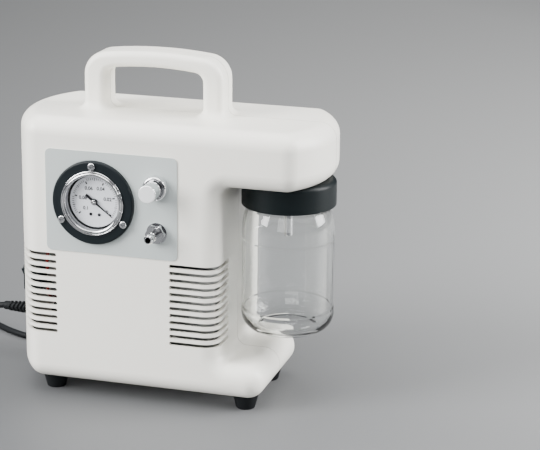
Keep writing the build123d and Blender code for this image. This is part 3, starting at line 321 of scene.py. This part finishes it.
def knob_material():
    """Plated knob: a mirror side that turns into a pale satin face."""
    mat, tree, shader = new_material("plated_knob")
    back = along_y(tree)
    tree.links.new(map_range(tree, back, knob_face_y, knob_side_y, 0.42, 0.10), shader.inputs["Roughness"])
    tree.links.new(map_range(tree, back, knob_face_y, knob_side_y, 0.25, 1.0), shader.inputs["Metallic"])
    tree.links.new(
        ramp(tree, noise(tree, 300.0), [(0.3, (0.90, 0.91, 0.92)), (0.7, (0.96, 0.97, 0.98))]),
        shader.inputs["Base Color"],
    )
    bump(tree, shader, noise(tree, 1500.0, 3.0), 0.2, 0.00001)
    return mat


slot_of = {row["node"]: row["material_slot"] for row in frame["record"]["subparts"]}


def dress(obj, mat):
    """Puts one material on the object in place of whatever it has."""
    if not obj.material_slots:
        obj.data.materials.append(mat)
    for slot in obj.material_slots:
        slot.material = mat


for name, obj in nodes.items():
    dress(obj, materials[slot_of[name]])
dress(nodes["control_knob"], knob_material())
dress(nodes["valve_body"], materials["chrome"])


# ---------------------------------------------------------------- piece helpers
def place(obj, body, slot):
    """Makes a piece ride on a body and take a slot's finish."""
    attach(obj, body)
    dress(obj, materials[slot])
    return obj


def mesh_piece(name, verts, faces, body, slot, smooth=True):
    """A piece from vertices and faces, with its faces turned outwards."""
    mesh = bpy.data.meshes.new(name)
    mesh.from_pydata(verts, [], faces)
    mesh.validate()
    form = bmesh.new()
    form.from_mesh(mesh)
    bmesh.ops.recalc_face_normals(form, faces=form.faces)
    form.to_mesh(mesh)
    form.free()
    for polygon in mesh.polygons:
        polygon.use_smooth = smooth
    obj = bpy.data.objects.new(name, mesh)
    scene.collection.objects.link(obj)
    return place(obj, body, slot)


def ring_verts(centre, u, v, radius, count):
    """Points evenly round a circle in the plane of u and v."""
    turns = [2 * math.pi * k / count for k in range(count)]
    return [centre + radius * (math.cos(turn) * u + math.sin(turn) * v) for turn in turns]


def lathe(profile, origin, axis, count=96):
    """Vertices and faces of a closed profile of (radius, along) turned about an axis."""
    axis = Vector(axis).normalized()
    u = axis.orthogonal().normalized()
    v = axis.cross(u)
    verts, faces = [], []
    for radius, along in profile:
        verts += ring_verts(Vector(origin) + along * axis, u, v, radius, count)
    rows = len(profile)
    for i in range(rows):
        j = (i + 1) % rows
        for k in range(count):
            m = (k + 1) % count
            faces.append((i * count + k, i * count + m, j * count + m, j * count + k))
    return verts, faces


def smooth_curve(name, points, radius, body, slot, resolution=10):
    """A round cord along one NURBS spline."""
    curve = bpy.data.curves.new(name, "CURVE")
    curve.dimensions = "3D"
    curve.bevel_depth = 1.0
    curve.bevel_resolution = 5
    curve.use_fill_caps = True
    curve.resolution_u = resolution
    spline = curve.splines.new("NURBS")
    spline.points.add(len(points) - 1)
    for point, place_at in zip(spline.points, points):
        point.co = (*place_at, 1.0)
        point.radius = radius
    spline.order_u = 3
    spline.use_endpoint_u = True
    obj = bpy.data.objects.new(name, curve)
    scene.collection.objects.link(obj)
    return place(obj, body, slot)


# ---------------------------------------------------------------- mains cord
cord_radius = 0.0027
# the coil: four rings on the floor from the outside in, then out again on top of them
coil_x, coil_y = -0.040, 0.122
ring_radii = [0.0381, 0.0327, 0.0273, 0.0219]
floor_z, second_z = cord_radius, 3 * cord_radius
steps = 16  # points to a turn
top_turns = 3.5
climb_bow = 0.0021  # how far the cord leans in where it climbs onto itself
# the free run: out of the strain relief, down to the floor, round and behind the housing to the coil
cord_points = [
    (-0.171, 0.039, 0.043), (-0.179, 0.039, 0.0424), (-0.189, 0.038, 0.0376), (-0.2015, 0.036, 0.029),
    (-0.216, 0.035, 0.0205), (-0.2315, 0.0372, 0.0132), (-0.2466, 0.045, 0.0075), (-0.2565, 0.0602, 0.0034),
    (-0.257, 0.0785, 0.0027), (-0.2475, 0.094, 0.0027), (-0.2315, 0.103, 0.0027), (-0.2132, 0.1022, 0.0027),
    (-0.1985, 0.0912, 0.0027), (-0.1815, 0.0806, 0.0027), (-0.1635, 0.0732, 0.0027), (-0.144, 0.0708, 0.0027),
    (-0.124, 0.074, 0.0027), (-0.1025, 0.0804, 0.0027), (-0.0785, 0.0836, 0.0027), (-0.0545, 0.0839, 0.0027),
]
cord_end = [(-0.055, 0.1601, 0.0084), (-0.067, 0.1601, 0.0092), (-0.080, 0.1601, 0.010)]


def coil_point(turns, radius, height):
    """A point of the coil, that many turns on from its side nearest the housing."""
    angle = math.radians(-90) + 2 * math.pi * turns
    reach = radius / math.cos(math.pi / steps)
    return (coil_x + reach * math.cos(angle), coil_y + reach * math.sin(angle), height)


def ease(value):
    """A smooth step from 0 to 1."""
    value = max(0.0, min(1.0, value))
    return value * value * (3 - 2 * value)


for step in range(len(ring_radii) * steps):
    turn, part = divmod(step / steps, 1.0)
    turn = int(turn)
    shift = ease((part - 5 / 6) * 6)  # to the next ring in the last sixth of the turn
    if turn < len(ring_radii) - 1:
        radius = ring_radii[turn] + shift * (ring_radii[turn + 1] - ring_radii[turn])
        height = floor_z
    else:
        radius = ring_radii[-1] - climb_bow * math.sin(math.pi * shift)
        height = floor_z + shift * (second_z - floor_z)
    cord_points.append(coil_point(turn + part, radius, height))
outward = ring_radii[::-1]
for step in range(int(top_turns * steps) + 1):
    turn, part = divmod(step / steps, 1.0)
    turn = int(turn)
    shift = ease((part - 4 / 6) * 6)  # and back out in the fifth sixth
    radius = outward[turn]
    if turn < len(outward) - 1:
        radius += shift * (outward[turn + 1] - outward[turn])
    cord_points.append(coil_point(turn + part, radius, second_z))
cord_points += cord_end

# the tapered strain relief: a core, a collar and chevron ribs that lean towards the cord
relief_y, relief_z = 0.039, 0.043
collar_x, tip_x = -0.1294, -0.171
relief_profile = [
    (0.0001, -0.1175), (0.0068, -0.1175), (0.0068, -0.1203), (0.0049, -0.1203), (0.0049, collar_x),
    (0.0069, collar_x), (0.0072, collar_x - 0.0004), (0.0072, collar_x - 0.0028), (0.0069, collar_x - 0.0032),
    (0.0064, collar_x - 0.0040), (0.0041, collar_x - 0.0046), (0.0035, tip_x + 0.006), (0.0038, tip_x + 0.0045),
    (0.0038, tip_x + 0.0010), (0.0034, tip_x), (0.0027, tip_x), (0.0027, tip_x + 0.002), (0.0001, tip_x + 0.002),
]
rib_steps, rib_count, rib_pitch = 64, 9, 0.0036
first_rib_reach, last_rib_reach = 0.0062, 0.0044
rib_lean = 0.0022
relief_verts, relief_faces = lathe(relief_profile, (0, relief_y, relief_z), (1, 0, 0), rib_steps)
for rib in range(rib_count):
    rib_x = collar_x - 2 * rib_pitch - rib * rib_pitch
    reach = first_rib_reach + rib / (rib_count - 1) * (last_rib_reach - first_rib_reach)
    section = [
        (0.0033, 0.0012), (reach - 0.0003, 0.0012), (reach, 0.0009),
        (reach, -0.0005), (reach - 0.0003, -0.0008), (0.0033, -0.0008),
    ]
    start = len(relief_verts)
    for step in range(rib_steps):
        turn = 2 * math.pi * step / rib_steps
        lean = rib_lean * abs(math.sin(turn)) - rib_lean / 2
        for radius, shift in section:
            across, rise = radius * math.cos(turn), radius * math.sin(turn)
            relief_verts.append(Vector((rib_x + shift + lean, relief_y - across, relief_z + rise)))
    size = len(section)
    for step in range(rib_steps):
        here, there = start + step * size, start + (step + 1) % rib_steps * size
        for k in range(size):
            m = (k + 1) % size
            relief_faces.append((here + k, here + m, there + m, there + k))
relief = mesh_piece("strain_relief_ribbed", relief_verts, relief_faces, "root", "black_rubber")
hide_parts("strain_relief")

# the moulded plug, a rounded body that narrows to a ribbed neck: x, half width, half height, squareness
plug_sections = [
    (-0.0781, 0.0040, 0.0040, 2.0), (-0.0810, 0.0042, 0.0042, 2.0), (-0.0960, 0.0052, 0.0048, 2.2),
    (-0.0985, 0.0056, 0.0050, 2.4), (-0.1020, 0.0078, 0.0066, 3.0), (-0.1055, 0.0104, 0.0085, 3.6),
    (-0.1080, 0.0113, 0.0091, 4.0), (-0.1160, 0.0113, 0.0088, 4.0), (-0.1240, 0.0117, 0.0094, 4.0),
    (-0.1256, 0.0115, 0.0092, 4.0), (-0.1260, 0.0108, 0.0086, 4.0),
]


def plug_section(x):
    """Half width, half height and squareness of the plug at x."""
    for (x0, *from_size), (x1, *to_size) in zip(plug_sections, plug_sections[1:]):
        if x1 <= x <= x0:
            share = ease((x0 - x) / (x0 - x1))
            return [a + share * (b - a) for a, b in zip(from_size, to_size)]
    return plug_sections[-1][1:]


def grooves(x, first, last, centre, pitch, depth):
    """Depth at x of a row of grooves that lies between first and last."""
    if not first < x < last:
        return 0.0
    return depth * max(0.0, math.cos((x - centre) / pitch * 2 * math.pi))


def squared(value, power):
    """A sine or cosine reshaped for a rounded rectangle."""
    return math.copysign(abs(value) ** (2 / power), value)


plug_centre_y, plug_centre_z = 0.1601, 0.010
plug_start, plug_stop = plug_sections[0][0], plug_sections[-1][0]
plug_rows, plug_steps = 97, 72
plug_verts, plug_faces = [], []
for row in range(plug_rows):
    x = plug_start + (plug_stop - plug_start) * row / (plug_rows - 1)
    half_width, half_height, power = plug_section(x)
    neck_groove = grooves(x, -0.0965, -0.0800, -0.0810, 0.0025, 0.00045)
    grip = grooves(x, -0.1206, -0.1094, -0.1150, 0.0022, 0.0004)
    for step in range(plug_steps):
        turn = 2 * math.pi * step / plug_steps
        on_flat = abs(math.sin(turn)) > 0.6  # the grip's grooves are on the top and bottom
        side = squared(math.cos(turn), power) * (half_width - neck_groove)
        rise = squared(math.sin(turn), power) * (half_height - neck_groove - (grip if on_flat else 0.0))
        plug_verts.append(Vector((x, plug_centre_y + side, plug_centre_z + rise)))
for row in range(plug_rows - 1):
    for step in range(plug_steps):
        after = (step + 1) % plug_steps
        low, high = row * plug_steps, (row + 1) * plug_steps
        plug_faces.append((low + step, low + after, high + after, high + step))
for row in (0, plug_rows - 1):
    ring_start = row * plug_steps
    plug_faces.append(tuple(ring_start + k for k in range(plug_steps)))
plug = mesh_piece("plug_moulded", plug_verts, plug_faces, "root", "cord_sheath")
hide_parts("plug_body")
for end_face in (plug.data.polygons[-1], plug.data.polygons[-2]):
    end_face.use_smooth = False

cord = smooth_curve("mains_cord_line", cord_points, cord_radius, "root", "cord_sheath")
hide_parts("mains_cord", "mains_cord_coil")


# ---------------------------------------------------------------- gauge dial
gauge = Vector((-0.0526, 0.0, 0.1695))
dial_face_y = -0.0448
zero_angle, scale_sweep = -38.0, 256.0
scale_divisions = 50
number_labels = ("0", "0.02", "0.04", "0.06", "0.08", "0.1")
number_radii = (0.0132, 0.0112, 0.0119, 0.0116, 0.0104, 0.0098)


def on_dial(radius, degrees, y):
    """A point over the dial by its distance and direction from the gauge's axis."""
    turn = math.radians(degrees)
    return Vector((gauge.x + radius * math.cos(turn), y, gauge.z + radius * math.sin(turn)))


def add_box(verts, faces, centre, along, across, depth_axis, half):
    """A small box by its centre, three directions and half sizes."""
    start = len(verts)
    for i in (-1, 1):
        for j in (-1, 1):
            for k in (-1, 1):
                verts.append(centre + i * half[0] * along + j * half[1] * across + k * half[2] * depth_axis)
    for face in ((0, 1, 3, 2), (4, 6, 7, 5), (0, 4, 5, 1), (2, 3, 7, 6), (0, 2, 6, 4), (1, 5, 7, 3)):
        faces.append(tuple(start + f for f in face))


# ticks at the numbers, halfway between them and the rest: outer radius, inner radius, half width
long_tick = (0.0176, 0.0154, 0.00055)
middle_tick = (0.0194, 0.0171, 0.00030)
short_tick = (0.0194, 0.0176, 0.00020)
ink_depth = 0.00005
backwards = Vector((0, 1, 0))
tick_verts, tick_faces = [], []
for division in range(scale_divisions + 1):
    degrees = zero_angle + scale_sweep * division / scale_divisions
    outer, inner, half_width = long_tick if division % 10 == 0 else middle_tick if division % 5 == 0 else short_tick
    out = (on_dial(1, degrees, 0) - on_dial(0, degrees, 0)).normalized()
    side = out.cross(backwards)
    centre = on_dial((outer + inner) / 2, degrees, dial_face_y - ink_depth)
    add_box(tick_verts, tick_faces, centre, out, side, backwards, ((outer - inner) / 2, half_width, ink_depth))
mesh_piece("dial_ticks", tick_verts, tick_faces, "root", "needle", smooth=False)

for index, (label, radius) in enumerate(zip(number_labels, number_radii)):
    name = f"dial_number_{index}"
    text = bpy.data.curves.new(name, "FONT")
    text.body = label
    text.size = 0.0040
    text.align_x = "CENTER"
    text.align_y = "CENTER"
    text.extrude = 0.00003
    text.offset = 0.00011
    obj = bpy.data.objects.new(name, text)
    scene.collection.objects.link(obj)
    at = on_dial(radius, zero_angle + scale_sweep * index / (len(number_labels) - 1), dial_face_y - 0.00004)
    obj.matrix_world = Matrix.Translation(at) @ Matrix.Rotation(math.radians(90), 4, "X")
    bpy.context.view_layer.update()
    mesh = bpy.data.meshes.new_from_object(obj.evaluated_get(bpy.context.evaluated_depsgraph_get()))
    mesh.transform(obj.matrix_world)
    bpy.data.objects.remove(obj)
    number = bpy.data.objects.new(name, mesh)
    scene.collection.objects.link(number)
    place(number, "root", "needle")

towards_front = (0, -1, 0)
rivet = [(0.0001, 0.0), (0.0013, 0.0), (0.0013, 0.0003), (0.0011, 0.0006), (0.0006, 0.00085), (0.0001, 0.0009)]
for end, shift in (("left", -0.0036), ("right", 0.0036)):
    verts, faces = lathe(rivet, (gauge.x + shift, dial_face_y, gauge.z - 0.0107), towards_front, 32)
    mesh_piece("dial_rivet_" + end, verts, faces, "root", "needle")

# a black ring between dial and window, as painted shade where the bezel shades the dial's edge, and the pointer's
# plated hub
ring = [(0.0212, 0.0), (0.0228, 0.0), (0.0228, 0.0009), (0.0224, 0.0011), (0.0216, 0.0011), (0.0212, 0.0009)]
verts, faces = lathe(ring, (gauge.x, dial_face_y, gauge.z), towards_front, 128)
mesh_piece("dial_edge_shade_ring", verts, faces, "root", "black_rubber")
needle_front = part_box("gauge_needle")[0].y
hub = [(0.0001, 0.0), (0.0020, 0.0), (0.0020, 0.0003), (0.0016, 0.00055), (0.0008, 0.0006), (0.0001, 0.00062)]
verts, faces = lathe(hub, (gauge.x, needle_front + 0.00005, gauge.z), towards_front, 48)
mesh_piece("pointer_hub", verts, faces, "gauge_pointer", "chrome")

# the rolled bezel: an outer rim, a groove and a rounded lip over the window
bezel_profile = [
    (0.0266, 0.0), (0.0266, 0.0006), (0.0264, 0.0011), (0.0260, 0.0014), (0.0255, 0.0014), (0.0253, 0.0008),
    (0.0251, 0.0008), (0.0249, 0.0017), (0.0245, 0.0021), (0.0238, 0.0022), (0.0231, 0.0020), (0.0226, 0.0015),
    (0.0224, 0.0008), (0.0224, 0.0), (0.0234, -0.0001), (0.0234, -0.0030), (0.0249, -0.0030), (0.0249, -0.0001),
]
flange_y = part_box("gauge_bezel")[1].y - 0.0030  # the bezel's skirt is 3 mm deep behind the flange
verts, faces = lathe(bezel_profile, (gauge.x, flange_y, gauge.z), towards_front, 192)
bezel = mesh_piece("gauge_bezel_rolled", verts, faces, "root", "chrome")
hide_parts("gauge_bezel")

# the round plated collar of the bleed valve, behind the knob
collar_low, collar_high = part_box("valve_nut")
collar_mid = (collar_low + collar_high) / 2
collar_profile = [
    (0.0061, 0.0), (0.0104, 0.0), (0.0104, 0.0008), (0.0101, 0.0012), (0.0101, 0.0040), (0.0099, 0.0049),
    (0.0094, 0.0057), (0.0087, 0.0062), (0.0081, 0.0063), (0.0077, 0.0060), (0.0075, 0.0054), (0.0074, 0.0046),
    (0.0066, 0.0044), (0.0061, 0.0044),
]
verts, faces = lathe(collar_profile, (collar_mid.x, collar_high.y, collar_mid.z), towards_front, 96)
collar = mesh_piece("valve_collar", verts, faces, "root", slot_of["valve_nut"])
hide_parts("valve_nut")


# ---------------------------------------------------------------- floor, light
floor_reach = 6.0
floor_mesh = bpy.data.meshes.new("floor")
floor_corners = [(x * floor_reach, y * floor_reach, 0.0) for x, y in ((-1, -1), (1, -1), (1, 1), (-1, 1))]
floor_mesh.from_pydata(floor_corners, [], [(0, 1, 2, 3)])
floor = bpy.data.objects.new("floor", floor_mesh)
scene.collection.objects.link(floor)
# painted light: the floor's colour gets paler from the front left to the back right, standing in for light that
# falls off across it
floor_mat, floor_tree, floor_shader = new_material("floor_painted_light")
sweep = floor_tree.nodes.new("ShaderNodeVectorMath")
sweep.operation = "DOT_PRODUCT"
sweep.inputs[1].default_value = (0.64, 0.68, 0.0)
floor_tree.links.new(object_coords(floor_tree), sweep.inputs[0])
spread = map_range(floor_tree, sweep.outputs["Value"], -0.25, 1.2)
# the two tones of the painted light fall-off: dark at the front left, pale at the back right
painted_floor_light_tones = [(0.0, (0.068, 0.071, 0.075)), (1.0, (0.43, 0.432, 0.43))]
floor_tree.links.new(ramp(floor_tree, spread, painted_floor_light_tones), floor_shader.inputs["Base Color"])
floor_shader.inputs["Roughness"].default_value = 0.55
dress(floor, floor_mat)

middle = (0.0, 0.0, 0.13)


def area_light(name, at, size, energy):
    """A white softbox aimed at the middle of the object."""
    data = bpy.data.lights.new(name, "AREA")
    data.shape = "RECTANGLE"
    data.size, data.size_y = size
    data.energy = energy
    obj = bpy.data.objects.new(name, data)
    scene.collection.objects.link(obj)
    obj.location = at
    obj.rotation_euler = (Vector(middle) - Vector(at)).to_track_quat("-Z", "Y").to_euler()
    return obj


area_light("key_left", (-1.25, -1.0, 0.95), (0.9, 1.3), 72.0)
area_light("top_soft", (-0.1, -0.2, 1.6), (1.7, 1.2), 30.0)
area_light("side_right", (1.35, 0.35, 0.75), (0.7, 1.2), 56.0)
front_fill = area_light("front_fill", (0.25, -1.9, 0.7), (1.3, 0.9), 21.0)
front_fill.visible_glossy = False  # it brightens the front without a patch of glare on the jar

world = bpy.data.worlds.new("studio")
world.use_nodes = True
# what plated and glossy parts mirror is dark below and pale overhead; seen directly it is an even grey
sky = world.node_tree
glow = sky.nodes["Background"]
glow.inputs["Strength"].default_value = 1.0
heading = sky.nodes.new("ShaderNodeSeparateXYZ")
sky.links.new(sky.nodes.new("ShaderNodeTexCoord").outputs["Generated"], heading.inputs["Vector"])
sky_tones = [(0.0, (0.05, 0.05, 0.055)), (0.25, (0.09, 0.09, 0.1)), (0.7, (0.5, 0.51, 0.52))]
shade = ramp(sky, heading.outputs["Z"], sky_tones)
seen = sky.nodes.new("ShaderNodeMix")
seen.data_type = "RGBA"
seen.inputs["B"].default_value = (0.24, 0.243, 0.25, 1.0)
sky.links.new(sky.nodes.new("ShaderNodeLightPath").outputs["Is Camera Ray"], seen.inputs["Factor"])
sky.links.new(shade, seen.inputs["A"])
sky.links.new(seen.outputs["Result"], glow.inputs["Color"])
scene.world = world

bpy.context.view_layer.update()
